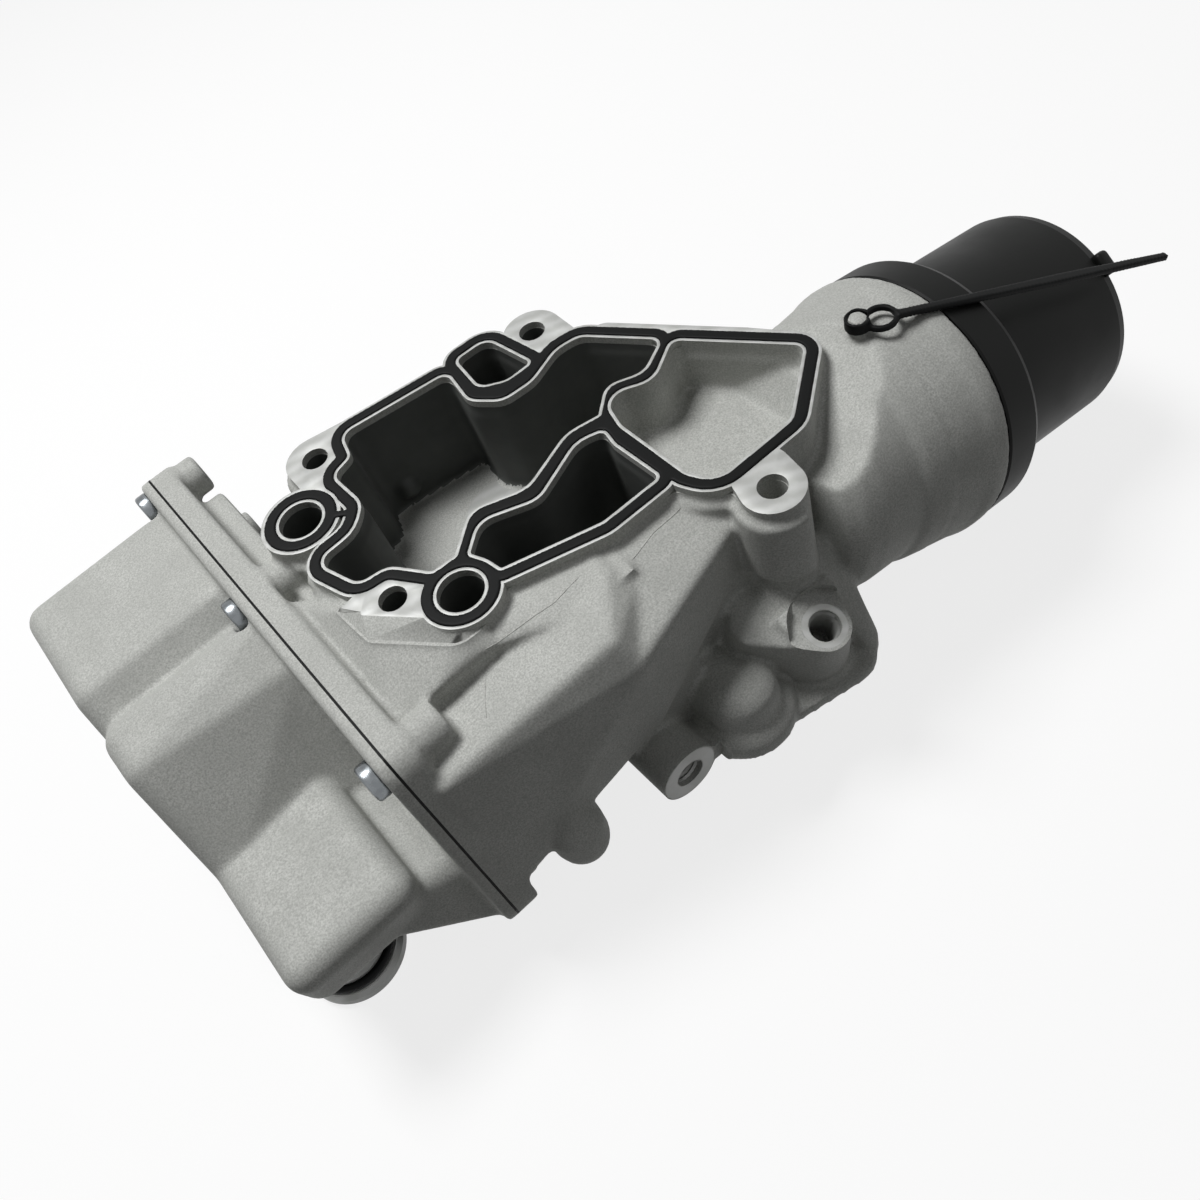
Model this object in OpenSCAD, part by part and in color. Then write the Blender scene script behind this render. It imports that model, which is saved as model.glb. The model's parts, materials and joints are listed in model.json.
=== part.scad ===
// Oil filter and oil cooler housing of a car engine: one light-alloy casting with a bolt-on flange,
// a screwed cooler cover on its left end and a filter bowl with a screw cap on its right end.
// Millimetres. Z = 0 is the machined flange face, the origin is the centre of the oil port,
// +X points to the filter, +Y along the cooler seam, +Z out of the flange face.

/* [Mounting flange] */
// Depth of the machined pad above the cast roof
pad_h = 4.5; // [3:0.5:8]
// Diameter of the four flange bolt holes
bolt_d = 9; // [7:0.5:11]
// Radius of the lobe round a bolt hole
lobe_r = 10.2; // [9:0.2:13]
// Metal rim between a pocket and the gasket groove
rim_w = 1; // [0.8:0.1:1.5]
// Width of the gasket groove
groove_w = 3.75; // [3:0.25:4.5]
// Depth of the gasket groove
groove_d = 2.4; // [1.5:0.1:3]
// Height of the gasket above the flange face
gasket_proud = 0.5; // [0.2:0.1:1]
// Metal left outside the gasket groove
outer_rim = 0.9; // [0.6:0.1:2]
// Depth of the two oil port bores
port_depth = 45; // [40:1:48]
// Bore of the two oil ports
port_d = 14.6; // [12:0.2:16]

/* [Pockets] */
// Depth of the clean oil pocket
pocket_a_h = 43; // [30:1:50]
// Depth of the dirty oil pocket
pocket_b_h = 52; // [40:1:60]
// Depth of the shallow pocket over the bowl
pocket_c_h = 20; // [12:1:24]
// Depth of the small coolant pocket
pocket_d_h = 30; // [15:1:40]
// Depth of the fine ledge in the pocket walls
ledge_h = 6.7; // [4:0.1:9]

/* [Cooler seam] */
// Face of the casting that the cover is screwed to, measured from the port
seam_x = 46; // [44:1:50]
// Thickness of the casting's flange at the seam
seam_flange_t = 8; // [6:0.5:10]
// Thickness of the cover gasket
cover_gasket_t = 0.8; // [0.5:0.1:1.5]
// Thickness of the cover's flange
cover_flange_t = 3.6; // [3:0.2:6]
// Top edge of the seam below the flange face
seam_top = 4.5; // [3:0.5:7]
// Bottom edge of the seam below the flange face
seam_bottom = 91; // [88:1:96]
// Depth of the cooler bay behind the seam face
bay_depth = 12; // [10:0.5:14]
// Wall of the cooler bay
bay_wall = 4; // [3:0.5:6]
// Shank diameter of a cover screw
screw_d = 6; // [5:1:6]
// Head diameter of a cover screw
screw_head_d = 12; // [10:0.5:13]
// Head height of a cover screw
screw_head_h = 4.2; // [3:0.2:6]
// Length of a cover screw under its head
screw_len = 16; // [12:1:18]
// Outer diameter of the casting's screw barrels
barrel_d = 14; // [12:0.5:15]

/* [Cooler cover] */
// Depth of the cover from the gasket to its end
cover_depth = 61; // [50:1:64]
// Wall of the cover
cover_wall = 3.5; // [3:0.5:5]
// Height of the low block of the cover below the flange face
low_block_z = 42; // [38:1:46]
// Outer edge radius of the cover
cover_round = 7; // [5:0.5:8]

/* [Oil cooler] */
// Number of plates in the brazed stack
plate_count = 14; // [8:1:15]
// Thickness of one plate
plate_t = 1.4; // [0.8:0.1:1.8]
// Distance from plate to plate
plate_pitch = 4; // [3:0.1:4.2]
// Thickness of the cooler's base plate
base_plate_t = 4; // [3:0.5:6]
// Shank diameter of a cooler screw
cooler_screw_d = 6; // [5:1:6]
// Oil port of the cooler
cooler_port_d = 10; // [8:1:12]

/* [Coolant stub] */
// Outer diameter of the stub's tube
stub_d = 26; // [24:1:28]
// Diameter of the rolled bead at its end
stub_bead_d = 36.8; // [34:0.2:38]
// Wall of the stub
stub_wall = 1.8; // [1.2:0.1:3]
// End of the stub below the flange face
stub_end_z = 106; // [100:1:112]
// Length of the stub
stub_len = 36; // [32:1:38]

/* [Filter bowl] */
// Tilt of the filter axis below the flange plane in degrees
bowl_tilt = 11.07; // [9:0.5:13]
// Wall of the bowl round the filter chamber
bowl_wall = 4; // [3.5:0.1:5]
// Height of the bowl's lip above its body
lip_step = 6; // [5.5:0.1:7]
// Step of the thread bore in the lip over the seal land
thread_step = 2.3; // [2:0.1:3]
// Length of the thread bore
thread_len = 14; // [12:0.5:16]
// Step of the seal land behind the thread over the filter chamber
land_step = 2.7; // [2.4:0.1:3]
// Step between the cap's barrel and the filter chamber
chamber_step = 1.1; // [0.9:0.1:1.3]
// Depth of the filter chamber behind the lip
bowl_depth = 38; // [36:1:40]
// Bore of the clean oil outlet in the chamber floor
outlet_d = 12; // [10:0.5:14]

/* [Filter cap] */
// Length of the cap outside the lip
cap_len = 77; // [74:1:90]
// Step of the cap's collar over its barrel
collar_step = 8.4; // [7:0.2:8.8]
// Length of the cap's collar
cap_collar_len = 16; // [12:0.5:20]
// Radius of the cap's barrel
cap_barrel_r = 38.6; // [37:0.2:40]
// Wall of the cap
cap_wall = 3; // [2.5:0.1:3.2]
// Gap between the cap and the lip when it is screwed home
cap_gap = 0.5; // [0.3:0.1:1]
// Radial clearance of the cap in the bowl
cap_clear = 0.3; // [0.3:0.05:0.5]
// Thickness of the cap's O-ring
ring_t = 3; // [2.5:0.1:3.5]

/* [Filter element] */
// Radial gap between the pleated paper and the cap
element_gap = 4.6; // [3.5:0.1:7]
// Inner radius of the pleated paper
pleat_in_r = 17; // [15:0.5:19]
// Number of pleats
pleat_count = 36; // [24:1:48]
// Thickness of an end cap of the element
end_cap_t = 2.5; // [2:0.1:4]
// Outer radius of the centre pipe
pipe_r = 10; // [8:0.5:11]
// Wall of the centre pipe
pipe_wall = 2; // [1.5:0.1:2.5]

/* [Bypass valve] */
// Travel of the poppet
bypass_travel = 4; // [2:0.5:5]
// Wire of the bypass spring
spring_wire = 1; // [0.8:0.1:1.4]
// Turns of the bypass spring
spring_turns = 4; // [3:1:6]

/* [Retaining strap] */
// Radius of the cast peg that holds the strap
peg_r = 3.1; // [2.5:0.1:4]
// Thickness of the strap
strap_t = 2; // [1.5:0.1:3]

/* [Hidden] */

eps = 0.01;
casting = "#c4c4c0";
machined = "#dcdcda";
rubber = "#141414";
plastic = "#232422";
zinc = "#b8bcbe";
paper = "#d8c79a";

// Bolt holes and ports of the flange
hole_e = [82.1, -43.1];
hole_n = [80.6, 67.7];
hole_w = [-1.5, 83.0];
hole_s = [-15.3, 14.1];
port_s = [0, 0];
port_w = [-18.7, 64.1];
bolt_holes = [hole_e, hole_n, hole_w, hole_s];

// Pocket corners in the flange plane: x, y and the radius of the corner
pocket_a = [[10.6, 84.6, 4.5], [49.9, 77.0, 3.5], [46.6, 60.0, 8], [54.0, 49.8, 8], [66.0, 48.5, 12],
            [80.0, 53.4, 12], [88.6, 51.6, 6], [103.4, 27.7, 3], [90.5, 21.4, 7], [79.0, 27.2, 6.5],
            [69.4, 19.2, 0.8], [58.0, 22.0, 14], [36.5, 14.6, 9], [19.5, 22.4, 8], [6.4, 11.9, 1],
            [-1.6, 12.6, 2], [-9.5, 25.6, 8], [-19.3, 27.2, 5], [-24.2, 45.0, 4], [-9.0, 45.2, 12],
            [-0.9, 53.0, 9], [-1.3, 71.0, 4], [7.4, 73.2, 4]];
pocket_b = [[9.9, 8.6, 1.2], [19.0, 16.0, 7], [36.0, 7.6, 9], [58.0, 16.0, 10], [65.8, 12.8, 2],
            [64.2, 6.0, 5], [64.4, -14.6, 1.8], [43.0, -13.9, 8], [12.9, -3.1, 1], [12.1, 3.0, 8]];
pocket_c = [[71.1, 10.0, 8], [74.6, 21.5, 6], [81.0, 20.8, 6], [90.0, 15.4, 9], [105.5, 24.2, 3.2],
            [127.8, -11.8, 3.6], [103.5, -29.5, 7], [74.0, -28.9, 8], [70.6, -20.0, 6]];
pocket_d = [[55.9, 79.2, 2.5], [68.4, 78.4, 5], [70.9, 56.4, 1.6], [61.0, 56.6, 6], [53.4, 62.0, 5]];

function unit(v) = v / norm(v);
function turn(a, b) = a[0] * b[1] - a[1] * b[0];

// Points of the arc that rounds the corner q of a polygon with radius r
function corner_arc(p, q, s, r) =
    let (u = unit(p - q), v = unit(s - q),
         half = acos(max(-1, min(1, u * v))) / 2,
         middle = q + unit(u + v) * r / sin(half),
         first = q + u * r / tan(half) - middle,
         start = atan2(first[1], first[0]),
         sweep = (180 - 2 * half) * (turn(u, v) > 0 ? -1 : 1),
         n = max(1, ceil(abs(sweep) / 15)))
    [for (k = [0 : n]) middle + r * [cos(start + sweep * k / n), sin(start + sweep * k / n)]];

// A polygon whose corners carry their own radius
function soft(c) =
    let (n = len(c))
    [for (i = [0 : n - 1])
        for (a = corner_arc([c[(i + n - 1) % n][0], c[(i + n - 1) % n][1]], [c[i][0], c[i][1]],
                            [c[(i + 1) % n][0], c[(i + 1) % n][1]], c[i][2])) a];

// A pocket that gets a little narrower below the ledge
module pocket(c, h) {
    translate([0, 0, -ledge_h]) linear_extrude(ledge_h + 1) polygon(soft(c));
    translate([0, 0, -h]) linear_extrude(h) offset(delta = -ledge_w) polygon(soft(c));
}
ledge_w = 0.5;

module pockets_2d() {
    polygon(soft(pocket_a));
    polygon(soft(pocket_b));
    polygon(soft(pocket_c));
    polygon(soft(pocket_d));
    translate(port_s) circle(d = port_d, $fn = 64);
}

// Band of the gasket groove round all pockets, narrowed by a clearance
module groove_2d(slack = 0) {
    difference() {
        offset(r = rim_w + groove_w - slack, $fn = 48) pockets_2d();
        offset(r = rim_w + slack, $fn = 48) pockets_2d();
        translate(port_w) circle(r = port_ring_r + rim_w + slack, $fn = 64);
    }
    translate(port_w) difference() {
        circle(r = port_ring_r - slack, $fn = 64);
        circle(r = port_d / 2 + rim_w + slack, $fn = 64);
    }
    translate(port_w) rotate(gasket_tab_turn) translate([port_ring_r - 1, -tab_w / 2 + slack])
        square([5.5, tab_w - 2 * slack]);
}
port_ring_r = port_d / 2 + rim_w + groove_w + 0.2;
gasket_tab_turn = -41;
tab_w = 2.6;

// Two circles joined by their outer tangents
module link_2d(p, r1, q, r2) {
    u = unit(q - p);
    a = acos((r1 - r2) / norm(q - p));
    left = [u[0] * cos(a) - u[1] * sin(a), u[0] * sin(a) + u[1] * cos(a)];
    right = [u[0] * cos(a) + u[1] * sin(a), u[1] * cos(a) - u[0] * sin(a)];
    translate(p) circle(r = r1, $fn = 64);
    translate(q) circle(r = r2, $fn = 64);
    polygon([p + r1 * left, q + r2 * left, q + r2 * right, p + r1 * right]);
}

// Outline of the machined pad
pad_edge = rim_w + groove_w + outer_rim;
module pad_2d() {
    offset(r = pad_edge, $fn = 48) pockets_2d();
    translate(port_w) circle(r = port_ring_r + outer_rim + 0.3, $fn = 64);
    link_2d(hole_w, lobe_r, [13, 84], pad_edge);
    link_2d(hole_w, lobe_r, [-6, 72], 6);
    translate([-7, 62]) square([10, 16]);
    link_2d(hole_n, lobe_r, [84, 52], 6);
    link_2d([93.5, 44.6], 6.4, [117.8, 5], 6.4);
    link_2d([117.8, 5], 6.4, [122.9, -6], pad_edge + 1.4);
    link_2d(hole_e, lobe_r - 0.4, [hole_e[0] + 2, -36], lobe_r - 1);
    polygon([[-24.5, 18], [-28, 24], [-14, 26], [0, 12], [-3.4, -10.4]]);
}

module bolt_bores(h) {
    for (p = bolt_holes)
        translate([p[0], p[1], -h]) cylinder(d = bolt_d, h = h + 1, $fn = 48);
}

// A YZ outline pushed along +X
module along_x(x0, x1) {
    translate([x0, 0, 0]) rotate([90, 0, 90]) linear_extrude(x1 - x0) children();
}

// An XZ outline pushed along +Y
module along_y(y0, y1) {
    translate([0, y1, 0]) rotate([90, 0, 0]) linear_extrude(y1 - y0) children();
}

// Outline of the seam in the YZ plane
seam_outline = [[138, -seam_top, 9], [-29, -seam_top, 9], [-48.5, -seam_bottom + 13, 12],
                [-39, -seam_bottom - 5, 8], [138, -seam_bottom, 9]];
screw_z = -12.5;
low_screw_z = -seam_bottom + 8;
screw_places = [[129, screw_z], [61, screw_z], [-21.5, screw_z], [-31, low_screw_z],
                [20, low_screw_z], [75, low_screw_z], [129, low_screw_z], [130, -48]];
barrel_lens = [16, 19, 19, 14, 19, 19, 19, 19];

module barrels() {
    for (i = [0 : 7])
        translate([-seam_x, screw_places[i][0], screw_places[i][1]]) rotate([0, 90, 0])
            cylinder(d = barrel_d, h = barrel_lens[i], $fn = 48);
}

// Inner space of the cooler bay in the YZ plane
bay_outline = [[121, -20, 6], [45, -20, 6], [16, -54, 8], [-22, -55, 6], [-27, -76, 6], [121, -76, 6]];
bay_x = -seam_x + bay_depth;
// Raised face in the bay that the cooler is screwed to
cooler_x = bay_x - 6;

module ball(p, r) {
    translate(p) sphere(r = r, $fn = 20);
}

// Filter axis
lip_centre = [156.8, -19.1, -48.5];
chamber_r = cap_barrel_r - chamber_step;
land_r = chamber_r + land_step;
thread_r = land_r + thread_step;
bowl_r = chamber_r + bowl_wall;
lip_r = bowl_r + lip_step;
cap_collar_r = cap_barrel_r + collar_step;
// Highest line of the lip or the cap's collar
bowl_top = lip_centre[2] + max(lip_r, cap_collar_r + 0.5) * cos(bowl_tilt);
module on_filter_axis() {
    translate(lip_centre) rotate([0, 90 + bowl_tilt, 0]) children();
}

module bowl_outside() {
    on_filter_axis() rotate_extrude($fn = 96)
        polygon([[0, -63], [28, -63], [36, -61], [bowl_r - 1.5, -56], [bowl_r, -50], [bowl_r, -34],
                 [bowl_r + 0.8, -32.5], [bowl_r + 1.5, -31], [bowl_r + 3, -22.6], [bowl_r + 2.6, -22],
                 [bowl_r + 3.2, -20], [lip_r - 1.2, -10], [lip_r, -6], [lip_r, -1], [lip_r - 0.8, 0], [0, 0]]);
}

module bowl_inside() {
    on_filter_axis() rotate_extrude($fn = 96)
        polygon([[0, -bowl_depth], [chamber_r - 15.5, -bowl_depth], [chamber_r - 12.5, -bowl_depth + 1.5],
                 [chamber_r - 6.5, -bowl_depth + 8], [chamber_r - 0.5, -bowl_depth + 14], [chamber_r, -22.6],
                 [land_r, -21], [land_r, -thread_len - 1.5],
                 [thread_r, -thread_len], [thread_r, -1.2], [thread_r + 1.5, 0.3], [thread_r + 1.5, 2], [0, 2]]);
}

// Casting round the flange: ramp, front ridge, right roof and front wall
crest_r = 3.5;
module crest(points) {
    hull() for (p = points) ball(p - [0, 0, crest_r], crest_r);
}
roof_slope = 0.32;
function roof_z(y) = -5 + roof_slope * (y + 20);

module front_block() {
    // ramp from the flange edge down to the seam
    hull() {
        for (p = [[-24, 17, 0], [-4, -8.5, 0], [-38, 47, -9], [-38, -11, -11.5], [-24, -14.5, -8],
                  [-12, -14.5, -5], [-3, -17, -6.5], [0, 10, 0]])
            translate([p[0], p[1], p[2] - 1]) cylinder(r = 1, h = 1, $fn = 16);
        for (p = [[-38, 47, -40], [-38, -9, -40], [-4, -12, -40], [-10, 30, -40]])
            translate(p) cylinder(r = 1, h = 1, $fn = 16);
    }
    // shelf along the front edge of the pad
    hull() {
        for (p = [[2, -8, shelf_z], [2.5, -13, shelf_z], [15.5, -15.8, shelf_z], [36, -14, shelf_z],
                  [33, -23, shelf_z], [17, -26.5, shelf_z - 1.8], [-3, -17, shelf_z - 2.2]])
            translate([p[0], p[1], p[2] - 1]) cylinder(r = 1, h = 1, $fn = 16);
        for (p = [[2, -8, -40], [36, -14, -40], [17, -26, -40]])
            translate(p) cylinder(r = 1, h = 1, $fn = 16);
    }
    // floor of the groove between the ramp and the ridge
    along_y(-30, 8) polygon([[-40, -19], [-24, -18.2], [18, -7.4], [34, -5.5], [40, -5.5], [40, -40], [-40, -60]]);
    // ridge and the left half of the front wall
    crest([[-24, -21, -14.8], [-26.5, -34.5, -14.8], [20, -41, -5.6], [33, -25, -3.8], [38.5, -28.5, -8],
           [22.5, -46.5, -14], [33, -16, shelf_z], [17, -26, -6.2], [22, -44, -46], [-28, -41, -62],
           [-38, -41, -68], [-38, -33, -16.5], [-38, -17, -18], [20, -20, -40], [-38, 0, -66]]);
    // right roof and the right half of the front wall
    crest([[36, -14, roof_z(-20)], [70.5, -14, roof_z(-20)], [70.5, -22, roof_z(-22)], [36, -24, roof_z(-24)],
           [70, -34.5, roof_z(-34.5)], [24, -46, roof_z(-46)], [70, -34.5, -24], [26, -45, -38],
           [22, -44, -46], [68, -10, -30], [36, -10, -50]]);
}
shelf_z = -pad_h;

// Lug with its tapped hole beside the outer bolt column
lug_centre = [76, -64, -44];
lug_tilt = 20;
lug_hole_d = 8.5;
lug_h = 24;
module at_lug() {
    translate(lug_centre) rotate([lug_tilt, 0, 0]) children();
}

module lug_and_plate() {
    // column of the outer bolt with its foot
    translate([hole_e[0], hole_e[1], 0]) rotate_extrude($fn = 64)
        polygon([[0, 0], [lobe_r - 0.4, 0], [lobe_r - 0.4, -43], [lobe_r + 0.4, -45.5], [lobe_r + 2.4, -47],
                 [lobe_r + 2.8, -50], [lobe_r + 4.6, -52], [lobe_r + 5, -plate_z], [0, -plate_z]]);
    // lug
    hull() {
        at_lug() translate([0, 0, -2]) cylinder(r = 8, h = 2, $fn = 32);
        at_lug() translate([1, 1, -lug_h - 3]) cylinder(r = 12, h = 5, $fn = 32);
        at_lug() translate([0, 20, -lug_h - 8]) cylinder(r = 15, h = lug_h + 8, $fn = 32);
        at_lug() translate([-14, 16, -lug_h - 6]) cylinder(r = 8, h = lug_h + 4, $fn = 32);
    }
    // plate under the lug
    translate([0, 0, -plate_z]) linear_extrude(plate_h)
        polygon(soft([[36, -30, 4], [36, -62.3, 4], [92, -74.2, 11], [103, -30, 6]]));
    // rib from the plate to the bowl
    hull() {
        translate([92, -64, -plate_z]) cylinder(r = 4, h = 8, $fn = 24);
        translate([88, -52, -44]) sphere(r = 3, $fn = 20);
        translate([96, -44, -34]) sphere(r = 3, $fn = 20);
        translate([102, -40, -plate_z]) cylinder(r = 3, h = 8, $fn = 24);
    }
}
plate_z = 76;
plate_h = 5;

// Cast elbow in front of the wall with its wider foot
elbow_centre = [47.5, -53, -49];
elbow_r = 12.5;
module elbow() {
    foot_r = elbow_r + 4.4;
    translate(elbow_centre) rotate_extrude($fn = 64)
        polygon([[0, 0], [5, -0.5], [9, -2.2], [11.6, -5], [elbow_r, -9], [elbow_r, -14], [elbow_r + 2, -15],
                 [foot_r - 1.2, -16.4], [foot_r, -18.4], [foot_r, -24], [0, -24]]);
    translate(elbow_centre - [0, 0, elbow_r]) rotate([-90, 0, 0]) cylinder(r = elbow_r, h = 30, $fn = 64);
}

// Boss with an M10 thread on the front
boss_centre = [20, -58, -67.6];
boss_r = 10.5;
boss_hole_d = 8.5;
boss_hole_h = 20;
lobe_centre = [-16.5, -44.5, -75];

module main_housing() {
    color(casting) difference() {
        union() {
            translate([0, 0, -pad_h - 1]) linear_extrude(pad_h + 1) pad_2d();
            translate([0, 0, -30]) linear_extrude(30 - pad_h) intersection() {
                offset(r = 2.5, $fn = 32) pad_2d();
                union() {
                    translate([-30, 0]) square([128, 100]);
                    translate([62, -60]) square([22, 61]);
                }
            }
            translate([0, 0, -30]) linear_extrude(30 - pad_h) pad_2d();
            front_block();
            // deep walls under the flange
            translate([0, 0, -pocket_a_h - pocket_floor]) linear_extrude(pocket_a_h) offset(r = pocket_wall, $fn = 32)
                polygon(soft(pocket_a));
            translate([0, 0, -pocket_b_h - pocket_floor]) linear_extrude(pocket_b_h) offset(r = pocket_wall, $fn = 32)
                polygon(soft(pocket_b));
            translate([0, 0, -pocket_d_h - pocket_floor]) linear_extrude(pocket_d_h) offset(r = pocket_wall, $fn = 32)
                polygon(soft(pocket_d));
            translate([0, 0, -port_depth - pocket_floor]) for (p = [port_s, port_w])
                translate(p) cylinder(r = port_d / 2 + pocket_wall, h = port_depth, $fn = 64);
            for (p = [hole_n, hole_w])
                translate([p[0], p[1], -22]) cylinder(r1 = lobe_r - 2, r2 = lobe_r, h = 20, $fn = 64);
            // seam flange and cooler bay
            along_x(-seam_x, -seam_x + seam_flange_t) polygon(soft(seam_outline));
            along_x(-seam_x + seam_flange_t - 1, bay_x + bay_wall) offset(r = bay_wall, $fn = 32)
                polygon(soft(bay_outline));
            barrels();
            translate([bay_x, 20, -pocket_a_h - pocket_floor]) cube([14, 52, 34]);
            translate([bay_x, cooler_ports[1][0], cooler_ports[1][1]]) rotate([0, 90, 0])
                cylinder(d = cooler_port_d + 8, h = 26, $fn = 64);
            // bowl with the slanting shoulder where it runs under the flange
            difference() {
                bowl_outside();
                along_y(-90, 70) polygon([[141, -1.6], [137, -3], [133, -5], [126, -7], [102, -16], [60, -26],
                                          [60, 20], [141, 20]]);
            }
            translate([40, -40, -62]) cube([62, 66, 32]);
            // web that carries the front boss and the plate
            translate([boss_centre[0] - 9, -44, boss_centre[2] - 4]) cube([32, 44, 30]);
            lug_and_plate();
            elbow();
            translate([boss_centre[0], boss_centre[1] + 28, boss_centre[2]]) rotate([90, 0, 0])
                cylinder(r = boss_r, h = 28, $fn = 64);
            // lobe under the front wall
            translate(lobe_centre) rotate_extrude($fn = 48)
                polygon([[0, -9.3], [3.6, -8.6], [6.6, -6.6], [8.6, -3.6], [9.3, 0], [9.3, 9], [7.6, 14],
                         [4, 20], [0, 23]]);
            translate([lobe_centre[0] - 9.3, lobe_centre[1], lobe_centre[2] - 4]) cube([18.6, 44, 18]);
            // peg for the strap
            translate([peg_place[0], peg_place[1], peg_z - 12]) cylinder(r = peg_r, h = 12, $fn = 48);
        }
        // pockets
        pocket(pocket_a, pocket_a_h);
        pocket(pocket_b, pocket_b_h);
        difference() {
            pocket(pocket_c, pocket_c_h);
            // shoulder of the bowl rising in the pocket
            along_y(-40, 40) polygon(soft([[shoulder_x, -pocket_c_h - 1, 0.5], [shoulder_x + 10, -9.5, 6],
                                           [shoulder_x + 14, -7.5, 4], [140, -7, 1], [140, -pocket_c_h - 1, 1]]));
        }
        pocket(pocket_d, pocket_d_h);
        translate([0, 0, -groove_d]) linear_extrude(groove_d + 1) groove_2d();
        for (p = [port_s, port_w])
            translate([p[0], p[1], -port_depth]) cylinder(d = port_d, h = port_depth + 1, $fn = 64);
        bolt_bores(82);
        difference() {
            along_x(-seam_x - 1, bay_x) polygon(soft(bay_outline));
            along_x(cooler_x, bay_x + 1) polygon(soft(cooler_base));
        }
        bowl_inside();
        // tapped holes
        at_lug() translate([0, 0, -18]) cylinder(d = lug_hole_d, h = 20, $fn = 48);
        translate([boss_centre[0], boss_centre[1] + boss_hole_h, boss_centre[2]]) rotate([90, 0, 0])
            cylinder(d = boss_hole_d, h = boss_hole_h + 1, $fn = 48);
        for (p = screw_places)
            translate([-seam_x - 1, p[0], p[1]]) rotate([0, 90, 0])
                cylinder(d = screw_d, h = screw_len - 1.5, $fn = 32);
        for (p = cooler_screws)
            translate([cooler_x - 1, p[0], p[1]]) rotate([0, 90, 0])
                cylinder(d = cooler_screw_d, h = cooler_thread + 1.5, $fn = 32);
        // oil ways to the cooler and to the filter
        for (p = cooler_ports)
            translate([cooler_x - 1, p[0], p[1]]) rotate([0, 90, 0]) cylinder(d = cooler_port_d, h = 22, $fn = 48);
        translate([-16, cooler_ports[1][0], cooler_ports[1][1]]) cylinder(d = cooler_port_d, h = 10, $fn = 48);
        on_filter_axis() translate([0, 0, -bowl_depth - 62]) cylinder(d = outlet_d, h = 64, $fn = 48);
        translate([57, -20, -29]) rotate([-90, 0, 0]) cylinder(d = outlet_d - 1, h = 10, $fn = 48);
    }
}
shoulder_x = 113;
pocket_floor = 4;
pocket_wall = 3.5;
peg_place = [142, -20.5];
peg_z = bowl_top + 6.9;
cooler_ports = [[64.1, -41], [38, -47.5]];
cooler_screws = [[111, -27.5], [110, -69], [54, -28], [40, -69]];
cooler_thread = 8;

module flange_gasket() {
    color(rubber) translate([0, 0, -groove_d]) linear_extrude(groove_d + gasket_proud) groove_2d(0.1);
}

cover_x = -seam_x - cover_gasket_t;

// Rounded block of the cover between the seam and the cover's end
module cover_block(corners, inset) {
    end_x = cover_x - cover_depth + cover_round;
    r = cover_round - inset;
    hull() {
        for (p = corners) {
            translate([end_x, p[0], p[1]]) sphere(r = r, $fn = 24);
            translate([cover_x - cover_flange_t + inset, p[0] + p[2], p[1] + p[3]]) rotate([0, 90, 0])
                cylinder(r = r, h = 1, $fn = 24);
        }
    }
}
// Corners: y, z and how far they move in y and z towards the seam
tall_block = [[118, -17, 1, 0], [76, -17, 0, 0], [63, -27, 0, 0], [63, -77, 0, 7], [118, -77, 1, 7]];
ridge_block = [[65, -27, 0, 0], [53, -18.5, 0, 0], [41, -20, -2, -4], [14, -49, 0, -8], [17, -77, 0, 7],
               [65, -77, 0, 7]];
low_top = -low_block_z - cover_round;
low_inner = [[30, low_top, 0, -14], [-30, low_top, 2, -15], [-27, -62, 0, -8], [20, -77, 0, 7]];

// Low end of the cover, which stops short of the seam
module low_block() {
    hull() for (x = [cover_x - cover_depth + cover_round, low_edge_x - cover_round])
        for (p = [[30, low_top], [-30, low_top], [-27, -62], [20, -77]])
            translate([x, p[0], p[1]]) sphere(r = cover_round, $fn = 24);
}
low_edge_x = -62;
neck_len = 12;

// Neck between the low block and the seam
module neck() {
    hull() {
        for (p = [[25, -55], [-25, -57], [-27, -64], [20, -74]])
            translate([low_edge_x - neck_len, p[0], p[1]]) sphere(r = cover_round, $fn = 24);
        for (p = [[30, -62], [-30, -62], [-36, -80], [20, -72]])
            translate([cover_x - cover_flange_t, p[0], p[1]]) rotate([0, 90, 0])
                cylinder(r = cover_round, h = 1, $fn = 24);
    }
}

module cooler_cover() {
    color(casting) difference() {
        union() {
            along_x(cover_x - cover_flange_t, cover_x) polygon(soft(seam_outline));
            cover_block(tall_block, 0);
            cover_block(ridge_block, 0);
            low_block();
            neck();
            translate([stub_place[0], stub_place[1], -stub_boss_z]) cylinder(d = stub_d + 3, h = 16, $fn = 64);
        }
        cover_block(tall_block, cover_wall);
        cover_block(ridge_block, cover_wall);
        cover_block(low_inner, cover_wall);
        along_x(cover_x - cover_flange_t - 1, cover_x + 1) polygon(soft(bay_outline));
        for (p = screw_places)
            translate([cover_x - cover_flange_t - screw_head_h - 1, p[0], p[1]]) rotate([0, 90, 0]) {
                cylinder(d = screw_head_d + 1, h = screw_head_h + 1, $fn = 48);
                cylinder(d = screw_d + 0.6, h = 20, $fn = 32);
            }
        // way to the screw under the neck
        translate([low_edge_x, screw_places[3][0], screw_places[3][1]]) rotate([0, 90, 0])
            cylinder(d = screw_head_d + 1, h = -low_edge_x + cover_x - cover_flange_t, $fn = 48);
        translate([stub_place[0], stub_place[1], -stub_end_z - 6])
            cylinder(d = stub_d, h = stub_len + 6, $fn = 64);
    }
}
stub_place = [-95.5, -3.5];
stub_boss_z = 80;

module cover_gasket() {
    color(rubber) along_x(cover_x, -seam_x) difference() {
        polygon(soft(seam_outline));
        polygon(soft(bay_outline));
        for (p = screw_places) translate(p) circle(d = screw_d + 0.6, $fn = 32);
    }
}

module hex_socket(across, h) {
    cylinder(d = across / cos(30), h = h, $fn = 6);
}

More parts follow.
